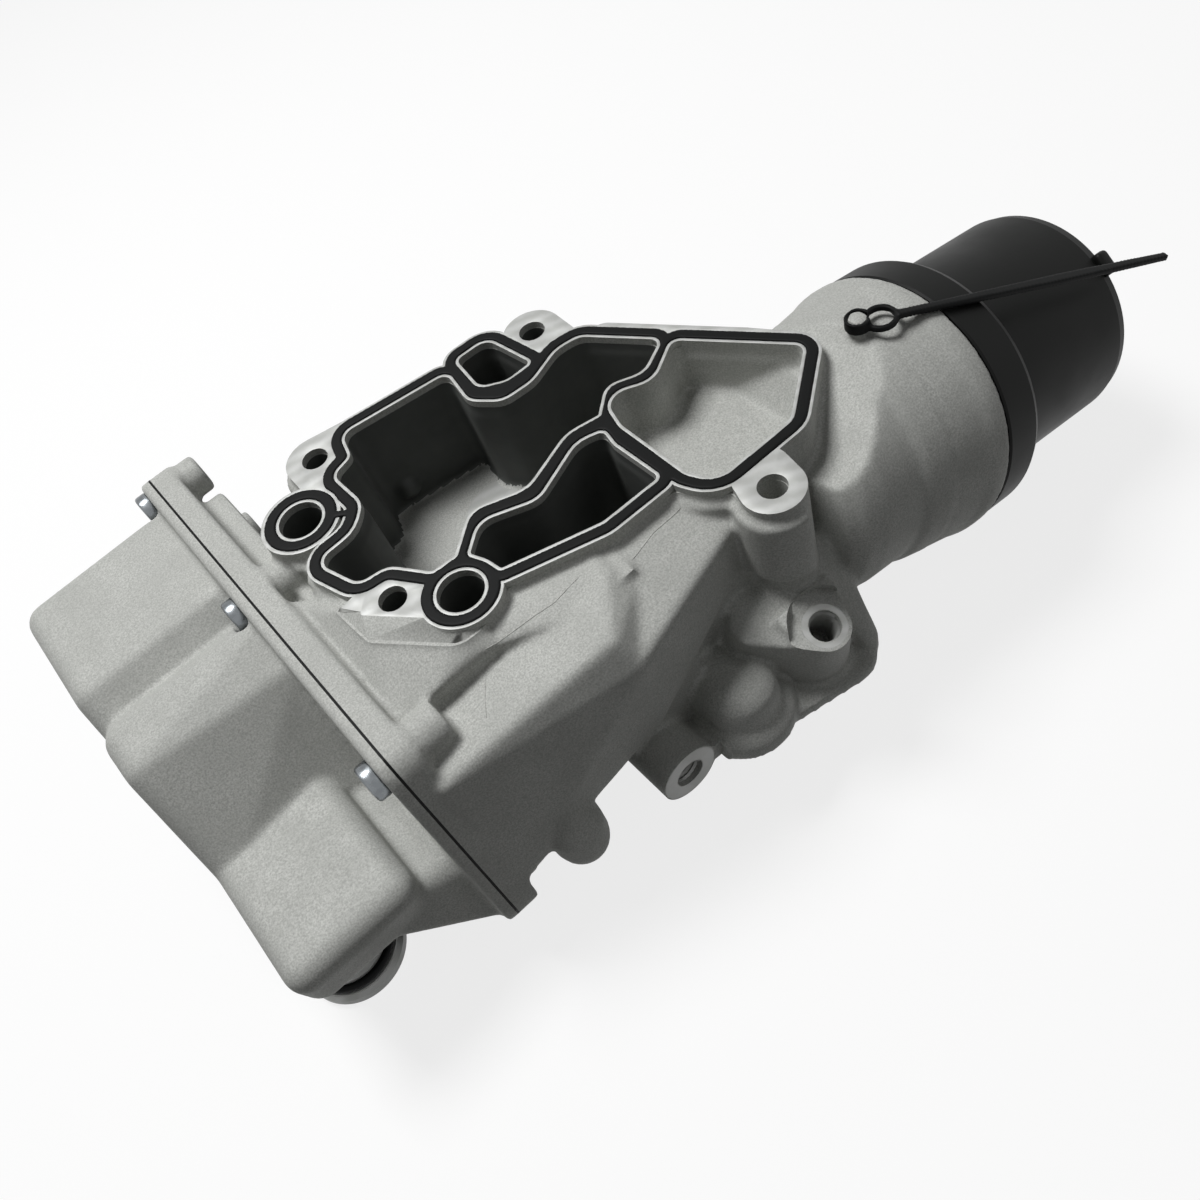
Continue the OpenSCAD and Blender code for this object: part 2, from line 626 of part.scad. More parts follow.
module cover_screw(i) {
    p = screw_places[i - 1];
    color(zinc) translate([cover_x - cover_flange_t, p[0], p[1]]) rotate([0, 90, 0]) difference() {
        union() {
            translate([0, 0, -screw_head_h]) rotate_extrude($fn = 48)
                polygon([[0, 0], [screw_head_d / 2 - 1, 0], [screw_head_d / 2, 0.8],
                         [screw_head_d / 2, screw_head_h], [0, screw_head_h]]);
            cylinder(d = screw_d, h = screw_len, $fn = 32);
        }
        translate([0, 0, -screw_head_h - 1]) hex_socket(5, 3.6);
    }
}

// Brazed plate stack of the oil cooler
stack_outline = [[112, -34.5, 6], [41, -34.5, 3], [27, -51.5, 5], [27, -63.5, 6], [112, -63.5, 6]];

module oil_cooler() {
    color("#a9aaa6") difference() {
        union() {
            along_x(cooler_x - base_plate_t, cooler_x) difference() {
                polygon(soft(cooler_base));
                for (p = cooler_screws) translate(p) circle(d = cooler_screw_d + 0.6, $fn = 32);
            }
            for (k = [0 : plate_count - 1]) {
                x = cooler_x - base_plate_t - k * plate_pitch;
                along_x(x - plate_t, x) polygon(soft(stack_outline));
                if (k < plate_count - 1)
                    along_x(x - plate_pitch, x) offset(delta = -2) polygon(soft(stack_outline));
            }
        }
        for (p = cooler_ports)
            translate([cooler_x - base_plate_t - 1, p[0], p[1]]) rotate([0, 90, 0])
                cylinder(d = cooler_port_d, h = base_plate_t + 2, $fn = 48);
        for (p = cooler_ports)
            translate([cooler_x - seal_t, p[0], p[1]]) rotate([0, 90, 0]) difference() {
                cylinder(d = cooler_port_d + 4 + seal_t, h = seal_t + 1, $fn = 48);
                translate([0, 0, -1]) cylinder(d = cooler_port_d + 4 - seal_t, h = seal_t + 3, $fn = 48);
            }
    }
}
cooler_base = [[117, -22, 5], [48, -22, 6], [20, -56, 6], [20, -74.5, 5], [117, -74.5, 5]];

module cooler_seal(i) {
    p = cooler_ports[i - 1];
    color(rubber) translate([cooler_x - seal_t / 2, p[0], p[1]]) rotate([0, 90, 0])
        rotate_extrude($fn = 48) translate([cooler_port_d / 2 + 2, 0]) circle(d = seal_t - 0.1, $fn = 24);
}
seal_t = 2;

module cooler_screw(i) {
    p = cooler_screws[i - 1];
    color(zinc) translate([cooler_x - base_plate_t, p[0], p[1]]) rotate([0, 90, 0]) difference() {
        union() {
            translate([0, 0, -4]) cylinder(d = 10, h = 4, $fn = 48);
            cylinder(d = cooler_screw_d, h = base_plate_t + cooler_thread, $fn = 32);
        }
        translate([0, 0, -5]) hex_socket(5, 3.5);
    }
}

module coolant_stub() {
    tube_r = stub_d / 2;
    bead_r = stub_bead_d / 2;
    color(machined) translate([stub_place[0], stub_place[1], -stub_end_z]) rotate_extrude($fn = 96)
        polygon([[tube_r - stub_wall, 0], [bead_r - 1, 0], [bead_r, 1], [bead_r, 4], [bead_r - 1.4, 5.4],
                 [bead_r - 1.4, 6.4], [tube_r + 0.8, 6.4], [tube_r + 0.8, 9.4], [tube_r + 1.6, 9.4],
                 [tube_r + 1.6, 10.6], [tube_r, 11.6], [tube_r, stub_len], [tube_r - stub_wall, stub_len]]);
}

module stub_o_ring() {
    color(rubber) translate([stub_place[0], stub_place[1], -stub_end_z + 7.9]) rotate_extrude($fn = 96)
        translate([stub_d / 2 + 2.3, 0]) circle(d = 2.8, $fn = 24);
}

// Strap with a loop on the peg, an open loop beside it and a long tail
loop_place = [147.8, -24.3];
tail_start = [151.2, -27.6, bowl_top + 4.4];
tail_end = [243.3, -58, bowl_top - 25.3];
module retaining_strap() {
    run = tail_end - tail_start;
    flat = norm([run[0], run[1]]);
    color(rubber) difference() {
        union() {
            translate([peg_place[0], peg_place[1], strap_z - 0.2]) cylinder(r = peg_r + 1, h = strap_t + 2, $fn = 48);
            translate([loop_place[0], loop_place[1], strap_z]) cylinder(r = loop_r + loop_rim, h = strap_t, $fn = 48);
            translate(tail_start) rotate([0, -atan2(run[2], flat), atan2(run[1], run[0])])
                translate([0, 0, -strap_t / 2]) linear_extrude(strap_t)
                    polygon([[0, -1.5], [5, -1.3], [norm(run) * 0.6, -1.9], [norm(run), -1.2],
                             [norm(run), 1.2], [norm(run) * 0.6, 1.9], [5, 1.3], [0, 1.5]]);
        }
        translate([peg_place[0], peg_place[1], -5]) cylinder(r = peg_r, h = 15, $fn = 48);
        translate([loop_place[0], loop_place[1], -5]) cylinder(r = loop_r, h = 15, $fn = 48);
    }
}
strap_z = bowl_top + 2.9;
loop_r = 3.9;
loop_rim = 1.5;

// Filter cap with its threaded skirt
skirt_r = thread_r - cap_clear;
seal_r = land_r - cap_clear;
skirt_in_r = chamber_r - 1.1;
module filter_cap() {
    inner = cap_barrel_r - cap_wall;
    color(plastic) on_filter_axis() rotate_extrude($fn = 96)
        polygon([[0, cap_len], [cap_barrel_r - 6, cap_len], [cap_barrel_r - 2.6, cap_len - 1],
                 [cap_barrel_r - 0.8, cap_len - 3], [cap_barrel_r, cap_len - 6.5],
                 [cap_barrel_r, cap_collar_len + 4], [cap_barrel_r + 1, cap_collar_len + 2],
                 [cap_barrel_r + 3, cap_collar_len + 0.6], [cap_collar_r - 3, cap_collar_len],
                 [cap_collar_r - 1, cap_collar_len - 1], [cap_collar_r, cap_collar_len - 3],
                 [cap_collar_r, cap_gap + 0.6], [cap_collar_r - 0.6, cap_gap], [skirt_r, cap_gap],
                 [skirt_r, -thread_len + 1], [seal_r, -thread_len - 1], [seal_r, -15.6], [seal_r - ring_t + 0.3, -15.6],
                 [seal_r - ring_t + 0.3, -19.2], [seal_r, -19.2], [seal_r, -20.4], [skirt_in_r, -20.4],
                 [skirt_in_r, 12], [inner, 14], [inner, cap_len - 8], [inner - 3, cap_len - cap_wall - 1],
                 [inner - 6, cap_len - cap_wall], [0, cap_len - cap_wall]]);
}

module cap_o_ring() {
    color(rubber) on_filter_axis() rotate_extrude($fn = 96)
        translate([seal_r - ring_t / 2 + 0.25, -17.4]) circle(d = ring_t - 0.3, $fn = 32);
}

// Filter element, from the chamber floor to the cap's end
element_low = -bowl_depth + 11;
element_high = cap_len - cap_wall - 1;
pleat_r = cap_barrel_r - cap_wall - element_gap;
module filter_pleats() {
    step = 180 / pleat_count;
    color(paper) on_filter_axis() translate([0, 0, element_low + end_cap_t])
        linear_extrude(element_high - element_low - 2 * end_cap_t) difference() {
            polygon([for (k = [0 : 2 * pleat_count - 1])
                (k % 2 == 0 ? pleat_r : pleat_in_r + 2.4) * [cos(k * step), sin(k * step)]]);
            polygon([for (k = [0 : 2 * pleat_count - 1])
                (k % 2 == 0 ? pleat_r - 2.4 : pleat_in_r) * [cos(k * step), sin(k * step)]]);
        }
}

module end_disc(hole_r) {
    difference() {
        cylinder(r = pleat_r + 1, h = end_cap_t, $fn = 96);
        translate([0, 0, -1]) cylinder(r = hole_r, h = end_cap_t + 2, $fn = 64);
    }
}

module element_inner_cap() {
    color(plastic) on_filter_axis() translate([0, 0, element_low]) end_disc(pipe_r + cap_clear);
}

module element_outer_cap() {
    color(plastic) on_filter_axis() translate([0, 0, element_high - end_cap_t]) {
        end_disc(pleat_in_r - 2);
        difference() {
            cylinder(r = pleat_in_r + 5, h = end_cap_t + 1, $fn = 64);
            translate([0, 0, -1]) cylinder(r = pleat_in_r - 2, h = end_cap_t + 3, $fn = 64);
        }
    }
}

// Centre pipe with its slots and the bypass seat at its end
pipe_end = 40;
seat_r = 5;
module centre_pipe() {
    color(plastic) on_filter_axis() difference() {
        union() {
            translate([0, 0, 0.05 - bowl_depth]) cylinder(r = pipe_r, h = pipe_end + bowl_depth - 0.05, $fn = 64);
            translate([0, 0, -bowl_depth - 8]) cylinder(r = outlet_d / 2 - 0.05, h = 9, $fn = 48);
        }
        translate([0, 0, -bowl_depth + 2]) cylinder(r = pipe_r - pipe_wall, h = bowl_depth + pipe_end - 5, $fn = 64);
        translate([0, 0, -bowl_depth - 9]) cylinder(r = outlet_d / 2 - pipe_wall, h = 12, $fn = 48);
        translate([0, 0, pipe_end - 4]) cylinder(r = seat_r, h = 6, $fn = 48);
        for (a = [0 : 60 : 300], s = [-20, 0, 20])
            rotate(a) translate([0, -2, s - 6]) cube([pipe_r + 1, 4, 12]);
    }
}

module bypass_poppet() {
    color(zinc) on_filter_axis() translate([0, 0, pipe_end + 0.05]) {
        cylinder(r = seat_r + 1.6, h = 1.6, $fn = 48);
        cylinder(r = 2, h = bypass_travel + 9, $fn = 32);
    }
}

function helix(r, pitch, a) = [r * cos(a), r * sin(a), pitch * a / 360];
spring_len = 10;
spring_r = 4.2;
module bypass_spring() {
    sides = 8;
    steps = 16 * spring_turns;
    rise = (spring_len - spring_wire - 0.2) / spring_turns;
    points = [for (k = [0 : steps], j = [0 : sides - 1])
        let (a = 360 * spring_turns * k / steps, c = helix(spring_r, rise, a), t = 360 * j / sides)
        c + spring_wire / 2 * [cos(a) * cos(t), sin(a) * cos(t), sin(t)]];
    rings = [for (k = [0 : steps - 1], j = [0 : sides - 1])
        [k * sides + j, k * sides + (j + 1) % sides, (k + 1) * sides + (j + 1) % sides, (k + 1) * sides + j]];
    ends = [[for (j = [sides - 1 : -1 : 0]) j], [for (j = [0 : sides - 1]) steps * sides + j]];
    color(zinc) on_filter_axis() translate([0, 0, pipe_end + 1.75 + spring_wire / 2])
        polyhedron(points = points, faces = concat(rings, ends), convexity = 8);
}

module bypass_retainer() {
    top = pipe_end + 1.7 + spring_len;
    color(plastic) on_filter_axis() difference() {
        union() {
            translate([0, 0, top]) cylinder(r = pipe_r, h = 2, $fn = 64);
            for (a = [0, 120, 240])
                rotate(a) translate([pipe_r - 2.2, -2, pipe_end]) cube([2, 4, top - pipe_end + 1]);
        }
        translate([0, 0, top - 1]) cylinder(r = 2.3, h = 4, $fn = 32);
    }
}

main_housing();
flange_gasket();
cooler_cover();
cover_gasket();
for (i = [1 : 8]) cover_screw(i);
oil_cooler();
for (i = [1 : 2]) cooler_seal(i);
for (i = [1 : 4]) cooler_screw(i);
coolant_stub();
stub_o_ring();
retaining_strap();
centre_pipe();
bypass_poppet();
bypass_spring();
bypass_retainer();
filter_pleats();
element_inner_cap();
element_outer_cap();
filter_cap();
cap_o_ring();
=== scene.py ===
# %% [markdown]
# # An oil filter and oil cooler housing in Blender
#
# This lesson dresses a finished CAD assembly of a car engine's oil filter housing. The CAD model gives every
# size and place; here each casting, seal, screw and cap gets the surface that a foundry, a milling machine or
# a moulding press leaves on the real one.

# %% Load the assembly
import json
import math

import bmesh
import bpy
from mathutils import Matrix, Vector
from mathutils.bvhtree import BVHTree


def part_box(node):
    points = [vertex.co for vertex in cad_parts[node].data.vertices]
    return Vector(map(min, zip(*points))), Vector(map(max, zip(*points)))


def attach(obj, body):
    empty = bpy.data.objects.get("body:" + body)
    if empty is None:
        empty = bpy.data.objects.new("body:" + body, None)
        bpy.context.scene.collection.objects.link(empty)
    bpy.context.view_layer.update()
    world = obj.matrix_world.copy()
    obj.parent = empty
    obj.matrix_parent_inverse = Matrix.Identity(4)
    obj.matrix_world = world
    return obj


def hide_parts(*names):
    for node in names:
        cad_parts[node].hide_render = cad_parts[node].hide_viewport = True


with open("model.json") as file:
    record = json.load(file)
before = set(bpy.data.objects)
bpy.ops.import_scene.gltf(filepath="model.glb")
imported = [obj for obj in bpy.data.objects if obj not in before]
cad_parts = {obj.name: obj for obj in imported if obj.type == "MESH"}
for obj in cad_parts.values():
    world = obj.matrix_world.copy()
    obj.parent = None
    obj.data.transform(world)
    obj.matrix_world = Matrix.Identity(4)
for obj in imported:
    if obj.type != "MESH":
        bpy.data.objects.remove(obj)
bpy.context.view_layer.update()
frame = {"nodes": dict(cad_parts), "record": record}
parts = frame["nodes"]
MM = 0.001

# %% [markdown]
# ## Camera
#
# The camera stands where the photographer stood. Its place and turn were worked out from the straight edges
# and the round holes of the flange, so the picture lines up with the real one. A matrix whose columns are
# right, up and back is the shortest way to write a turned camera.

# %% Camera
RIGHT = Vector((0.73859, -0.63058, -0.23846))
UP = Vector((0.63664, 0.53603, 0.55441))
BACK = Vector((-0.22178, -0.56129, 0.79735))
EYE = Vector((-41.785, -202.162, 238.839)) * MM

camera = bpy.data.objects.new("camera", bpy.data.cameras.new("camera"))
camera.data.sensor_width = 36
camera.data.lens = 33.02
camera.data.clip_start = 0.01
camera.data.clip_end = 20
turned = Matrix((RIGHT, UP, BACK)).transposed().to_4x4()
camera.matrix_world = Matrix.Translation(EYE) @ turned
bpy.context.scene.collection.objects.link(camera)
bpy.context.scene.camera = camera

# %% [markdown]
# ## Node helper and colours
#
# A material is a small network of nodes. One function that adds a node, sets its values and joins its inputs
# keeps each network readable. Colours are written the way a painter's colour picker shows them, as sRGB hex,
# while the renderer wants linear light, so a second function turns one into the other.


# %% Node helper
def linear(hex_colour):
    """sRGB hex to the linear colour that the renderer works with"""
    shares = [int(hex_colour[i : i + 2], 16) / 255 for i in (1, 3, 5)]
    return [s / 12.92 if s <= 0.04045 else ((s + 0.055) / 1.055) ** 2.4 for s in shares] + [1]


def add(tree, kind, settings=(), links=()):
    """Adds a node, sets its properties or input values and links its inputs"""
    made = tree.nodes.new(kind)
    for name, value in dict(settings).items():
        if isinstance(name, str) and hasattr(made, name):
            setattr(made, name, value)
        else:
            made.inputs[name].default_value = value
    for name, source in dict(links).items():
        tree.links.new(source, made.inputs[name])
    return made


def material(name):
    """An empty material with its output, ready for nodes"""
    made = bpy.data.materials.new(name)
    made.use_nodes = True
    made.node_tree.nodes.clear()
    return made, made.node_tree


def finish_material(tree, surface):
    """Joins a shader to the material's output"""
    add(tree, "ShaderNodeOutputMaterial", {}, {"Surface": surface})


# %% [markdown]
# ## Studio
#
# Light alloy shows its form through broad soft light. So there is one large lamp high behind the object, a
# weaker one at its right and a dim sky all round. Only the camera and shiny surfaces see that sky as white,
# so the background is pale without adding light. The floor is made in the same way and catches a soft shadow.

# %% Studio
FLOOR_Z = -0.1068
FLOOR_HALF = 6
FLOOR_GLOW = 0.8
SKY_LIGHT = 0.06
MIDDLE = (0.07, 0.02, -0.04)
bpy.context.scene.view_settings.view_transform = "Standard"


def lamp(name, place, target, size, power):
    """A square soft lamp that looks at a point"""
    data = bpy.data.lights.new(name, "AREA")
    data.size = size
    data.energy = power
    made = bpy.data.objects.new(name, data)
    made.location = place
    made.rotation_mode = "QUATERNION"
    made.rotation_quaternion = (Vector(target) - Vector(place)).to_track_quat("-Z", "Y")
    bpy.context.scene.collection.objects.link(made)


lamp("top_lamp", (-0.1, 0.42, 1.0), MIDDLE, 0.4, 12)
lamp("right_lamp", (0.75, -0.7, 0.75), MIDDLE, 0.8, 0.9)

world = bpy.data.worlds.new("studio")
world.use_nodes = True
sky = world.node_tree
sky.nodes.clear()
path = add(sky, "ShaderNodeLightPath")
direct = add(
    sky,
    "ShaderNodeMath",
    {"operation": "MAXIMUM"},
    {0: path.outputs["Is Camera Ray"], 1: path.outputs["Is Transmission Ray"]},
)
seen = add(
    sky,
    "ShaderNodeMath",
    {"operation": "MAXIMUM"},
    {0: direct.outputs[0], 1: path.outputs["Is Glossy Ray"]},
)
dim = add(sky, "ShaderNodeBackground", {"Color": linear("#f2f3f4"), "Strength": SKY_LIGHT})
bright = add(sky, "ShaderNodeBackground", {"Color": linear("#fcfcfc"), "Strength": 1.0})
mixed = add(sky, "ShaderNodeMixShader", {}, {0: seen.outputs[0], 1: dim.outputs[0], 2: bright.outputs[0]})
add(sky, "ShaderNodeOutputWorld", {}, {"Surface": mixed.outputs[0]})
bpy.context.scene.world = world

paper_white, tree = material("white_table")
path = add(tree, "ShaderNodeLightPath")
glow = add(tree, "ShaderNodeEmission", {"Color": linear("#ffffff"), "Strength": 1.0})
direct = add(
    tree,
    "ShaderNodeMath",
    {"operation": "MAXIMUM"},
    {0: path.outputs["Is Camera Ray"], 1: path.outputs["Is Glossy Ray"]},
)
share = add(tree, "ShaderNodeMath", {"operation": "MULTIPLY", 1: FLOOR_GLOW}, {0: direct.outputs[0]})
tint = add(
    tree,
    "ShaderNodeMix",
    {"data_type": "RGBA", 6: linear("#6a6a6a"), 7: linear("#ffffff")},
    {0: direct.outputs[0]},
)
table_top = add(tree, "ShaderNodeBsdfPrincipled", {"Roughness": 0.9}, {"Base Color": tint.outputs[2]})
mixed = add(
    tree, "ShaderNodeMixShader", {}, {0: share.outputs[0], 1: table_top.outputs[0], 2: glow.outputs[0]}
)
finish_material(tree, mixed.outputs[0])

sheet = bmesh.new()
bmesh.ops.create_grid(sheet, x_segments=1, y_segments=1, size=FLOOR_HALF)
bmesh.ops.translate(sheet, verts=sheet.verts, vec=(0, 0, FLOOR_Z))
floor_mesh = bpy.data.meshes.new("floor")
sheet.to_mesh(floor_mesh)
sheet.free()
floor = bpy.data.objects.new("floor", floor_mesh)
floor_mesh.materials.append(paper_white)
bpy.context.scene.collection.objects.link(floor)
print("studio ready")

# %% [markdown]
# ## Die-cast aluminium
#
# The two castings are pressure die cast in an aluminium-silicon alloy and blasted with fine grit. That gives
# the eye an even, light grey, nearly matt skin with a fine speckle. The grit is finer than a pixel, so the
# grain is drawn about 0.5 mm coarse. A second, much darker material is painted shade: it goes on the walls
# of the deep pockets and stands in for the shade that falls there.

# %% Die-cast aluminium
GRAIN_MM = 0.55
CLOUD_MM = 14

cast_alloy, tree = material("die_cast_aluminium")
place = add(tree, "ShaderNodeTexCoord")
grain = add(
    tree,
    "ShaderNodeTexNoise",
    {"Scale": 1000 / GRAIN_MM, "Detail": 3.0, "Roughness": 0.6},
    {"Vector": place.outputs["Object"]},
)
cloud = add(
    tree,
    "ShaderNodeTexNoise",
    {"Scale": 1000 / CLOUD_MM, "Detail": 3.0, "Roughness": 0.55},
    {"Vector": place.outputs["Object"]},
)
speckle = add(tree, "ShaderNodeMapRange", {1: 0.35, 2: 0.65, 3: 0.0, 4: 1.0}, {0: grain.outputs["Fac"]})
tone = add(
    tree,
    "ShaderNodeMix",
    {"data_type": "RGBA", 6: linear("#a0a19d"), 7: linear("#c4c5c1")},
    {0: speckle.outputs[0]},
)
patch = add(tree, "ShaderNodeMapRange", {1: 0.3, 2: 0.7, 3: 0.0, 4: 0.35}, {0: cloud.outputs["Fac"]})
colour = add(
    tree,
    "ShaderNodeMix",
    {"data_type": "RGBA", 7: linear("#a4a5a1")},
    {0: patch.outputs[0], 6: tone.outputs[2]},
)
sheen = add(tree, "ShaderNodeMapRange", {1: 0.3, 2: 0.7, 3: 0.54, 4: 0.66}, {0: cloud.outputs["Fac"]})
bump = add(tree, "ShaderNodeBump", {"Strength": 0.5, "Distance": 0.00014}, {"Height": grain.outputs["Fac"]})
alloy = add(
    tree,
    "ShaderNodeBsdfPrincipled",
    {"Metallic": 0.05, "Specular IOR Level": 0.12},
    {"Base Color": colour.outputs[2], "Roughness": sheen.outputs[0], "Normal": bump.outputs[0]},
)
finish_material(tree, alloy.outputs[0])

# Painted shade: a dark grey with a soft mottle that stands in for the shade in the deep pockets, not a colour
# of the metal.
pocket_shade_material, tree = material("painted_pocket_shade")
place = add(tree, "ShaderNodeTexCoord")
shade_mottle = add(
    tree,
    "ShaderNodeTexNoise",
    {"Scale": 1000 / CLOUD_MM, "Detail": 4.0, "Roughness": 0.6},
    {"Vector": place.outputs["Object"]},
)
tone = add(
    tree,
    "ShaderNodeMix",
    {"data_type": "RGBA", 6: linear("#4b4d4b"), 7: linear("#5f615f")},
    {0: shade_mottle.outputs["Fac"]},
)
bump = add(tree, "ShaderNodeBump", {"Strength": 0.2, "Distance": 0.0001}, {"Height": shade_mottle.outputs["Fac"]})
skin = add(
    tree,
    "ShaderNodeBsdfPrincipled",
    {"Metallic": 0.1, "Roughness": 0.55, "Specular IOR Level": 0.15},
    {"Base Color": tone.outputs[2], "Normal": bump.outputs[0]},
)
finish_material(tree, skin.outputs[0])
print("die-cast aluminium ready")

# %% [markdown]
# ## Milled aluminium
#
# The flange face is milled flat after casting, so it is bare bright metal with faint arcs from the cutter.
# The arcs of a real cutter are 0.2 mm apart, too fine to show, so only the broad bands that they make
# together are drawn, 5 mm apart. A wave texture of scale 1 has a band each 2 pi / 20.

# %% Milled aluminium
BAND_MM = 1.6 * math.pi

milled_alloy, tree = material("milled_aluminium")
place = add(tree, "ShaderNodeTexCoord")
sweep = add(tree, "ShaderNodeMapping", {"Location": (0.1, 0.35, 0)}, {"Vector": place.outputs["Object"]})
arcs = add(
    tree,
    "ShaderNodeTexWave",
    {
        "wave_type": "RINGS",
        "rings_direction": "Z",
        "Scale": 2 * math.pi / 20 * 1000 / BAND_MM,
        "Distortion": 1.5,
        "Detail": 2.0,
        "Detail Scale": 6.0,
    },
    {"Vector": sweep.outputs[0]},
)
tone = add(
    tree,
    "ShaderNodeMix",
    {"data_type": "RGBA", 6: linear("#a8a9a6"), 7: linear("#b6b7b5")},
    {0: arcs.outputs["Fac"]},
)
bump = add(tree, "ShaderNodeBump", {"Strength": 0.08, "Distance": 0.00005}, {"Height": arcs.outputs["Fac"]})
metal = add(
    tree,
    "ShaderNodeBsdfPrincipled",
    {"Metallic": 0.25, "Roughness": 0.5, "Specular IOR Level": 0.3},
    {"Base Color": tone.outputs[2], "Normal": bump.outputs[0]},
)
finish_material(tree, metal.outputs[0])
print("milled aluminium ready")

# %% [markdown]
# ## Moulded rubber
#
# The gaskets, rings and the strap are nitrile rubber, pressed in a mould. It is nearly black and satin, with
# a soft light along each crown.

# %% Moulded rubber
DUST_MM = 10 / 9

rubber, tree = material("nitrile_rubber")
place = add(tree, "ShaderNodeTexCoord")
dust = add(
    tree,
    "ShaderNodeTexNoise",
    {"Scale": 1000 / DUST_MM, "Detail": 3.0},
    {"Vector": place.outputs["Object"]},
)
tone = add(
    tree,
    "ShaderNodeMix",
    {"data_type": "RGBA", 6: linear("#070808"), 7: linear("#0d0e0e")},
    {0: dust.outputs["Fac"]},
)
bump = add(tree, "ShaderNodeBump", {"Strength": 0.12, "Distance": 0.00005}, {"Height": dust.outputs["Fac"]})
black = add(
    tree,
    "ShaderNodeBsdfPrincipled",
    {"Roughness": 0.5, "IOR": 1.52, "Specular IOR Level": 0.08},
    {"Base Color": tone.outputs[2], "Normal": bump.outputs[0]},
)
finish_material(tree, black.outputs[0])

# %% [markdown]
# ## Glass-filled nylon
#
# The screw cap is moulded in black nylon with glass fibre. It has the fine matt texture of its mould and a
# gloss that varies softly across it.

# %% Glass-filled nylon
TEXTURE_MM = 2 / 3
FLOW_MM = 25

nylon, tree = material("glass_filled_nylon")
place = add(tree, "ShaderNodeTexCoord")
spark = add(
    tree,
    "ShaderNodeTexNoise",
    {"Scale": 1000 / TEXTURE_MM, "Detail": 2.0},
    {"Vector": place.outputs["Object"]},
)
flow = add(
    tree,
    "ShaderNodeTexNoise",
    {"Scale": 1000 / FLOW_MM, "Detail": 3.0},
    {"Vector": place.outputs["Object"]},
)
tone = add(
    tree,
    "ShaderNodeMix",
    {"data_type": "RGBA", 6: linear("#0b0c0b"), 7: linear("#131413")},
    {0: flow.outputs["Fac"]},
)
gloss = add(tree, "ShaderNodeMapRange", {1: 0.3, 2: 0.7, 3: 0.36, 4: 0.5}, {0: flow.outputs["Fac"]})
bump = add(tree, "ShaderNodeBump", {"Strength": 0.2, "Distance": 0.00006}, {"Height": spark.outputs["Fac"]})
black = add(
    tree,
    "ShaderNodeBsdfPrincipled",
    {"IOR": 1.53, "Specular IOR Level": 0.1},
    {"Base Color": tone.outputs[2], "Roughness": gloss.outputs[0], "Normal": bump.outputs[0]},
)
finish_material(tree, black.outputs[0])

# %% [markdown]
# ## Zinc-plated steel
#
# The screws, the poppet and its spring are steel with a bright zinc plating: a clear, slightly bluish metal
# with small soft differences from the plating bath.

# %% Zinc-plated steel
BATH_MM = 10 / 3

zinc, tree = material("zinc_plated_steel")
place = add(tree, "ShaderNodeTexCoord")
bath = add(
    tree,
    "ShaderNodeTexNoise",
    {"Scale": 1000 / BATH_MM, "Detail": 2.0},
    {"Vector": place.outputs["Object"]},
)
tone = add(
    tree,
    "ShaderNodeMix",
    {"data_type": "RGBA", 6: linear("#63676a"), 7: linear("#8b8f92")},
    {0: bath.outputs["Fac"]},
)
gloss = add(tree, "ShaderNodeMapRange", {1: 0.3, 2: 0.7, 3: 0.2, 4: 0.34}, {0: bath.outputs["Fac"]})
plated = add(
    tree,
    "ShaderNodeBsdfPrincipled",
    {"Metallic": 1.0},
    {"Base Color": tone.outputs[2], "Roughness": gloss.outputs[0]},
)
finish_material(tree, plated.outputs[0])

# %% [markdown]
# ## Filter paper and brazed aluminium
#
# Inside the bowl is resin-stiffened filter paper, cream with fine fibres. Inside the bay is a stack of
# aluminium plates whose brazing leaves a dull, slightly mottled grey.

# %% Filter paper and brazed aluminium
FIBRE_MM = 5 / 6
MOTTLE_MM = 4

paper, tree = material("filter_paper")
place = add(tree, "ShaderNodeTexCoord")
fibre = add(
    tree,
    "ShaderNodeTexNoise",
    {"Scale": 1000 / FIBRE_MM, "Detail": 4.0},
    {"Vector": place.outputs["Object"]},
)
tone = add(
    tree,
    "ShaderNodeMix",
    {"data_type": "RGBA", 6: linear("#cdb981"), 7: linear("#e2d3a6")},
    {0: fibre.outputs["Fac"]},
)
bump = add(tree, "ShaderNodeBump", {"Strength": 0.3, "Distance": 0.0001}, {"Height": fibre.outputs["Fac"]})
cream = add(
    tree,
    "ShaderNodeBsdfPrincipled",
    {"Roughness": 0.85},
    {"Base Color": tone.outputs[2], "Normal": bump.outputs[0]},
)
finish_material(tree, cream.outputs[0])

brazed, tree = material("brazed_aluminium")
place = add(tree, "ShaderNodeTexCoord")
mottle = add(
    tree,
    "ShaderNodeTexNoise",
    {"Scale": 1000 / MOTTLE_MM, "Detail": 4.0},
    {"Vector": place.outputs["Object"]},
)
tone = add(
    tree,
    "ShaderNodeMix",
    {"data_type": "RGBA", 6: linear("#8f908d"), 7: linear("#b3b4b1")},
    {0: mottle.outputs["Fac"]},
)
dull = add(
    tree,
    "ShaderNodeBsdfPrincipled",
    {"Metallic": 0.8, "Roughness": 0.48},
    {"Base Color": tone.outputs[2]},
)
finish_material(tree, dull.outputs[0])
print("materials:", ", ".join(sorted(m.name for m in bpy.data.materials if m.use_nodes)))

# %% [markdown]
# ## From CAD solid to soft casting
#
# A die casting has no sharp edge: every corner has a radius, and every wall runs into the next through a
# fillet. CAD solids are sharp. Rounding hundreds of edges one by one is slow and often fails, so the solid is
# rebuilt as an even mesh of small squares, a voxel remesh, and that skin is relaxed until its corners are
# soft. Faces that were milled afterwards have to stay sharp. So the walls there are made longer first, past
# the milled face, and the soft skin is cut off flat at the face afterwards with a boolean. A skin with very
# many squares is thinned at the end, which keeps its form and makes it light to handle.


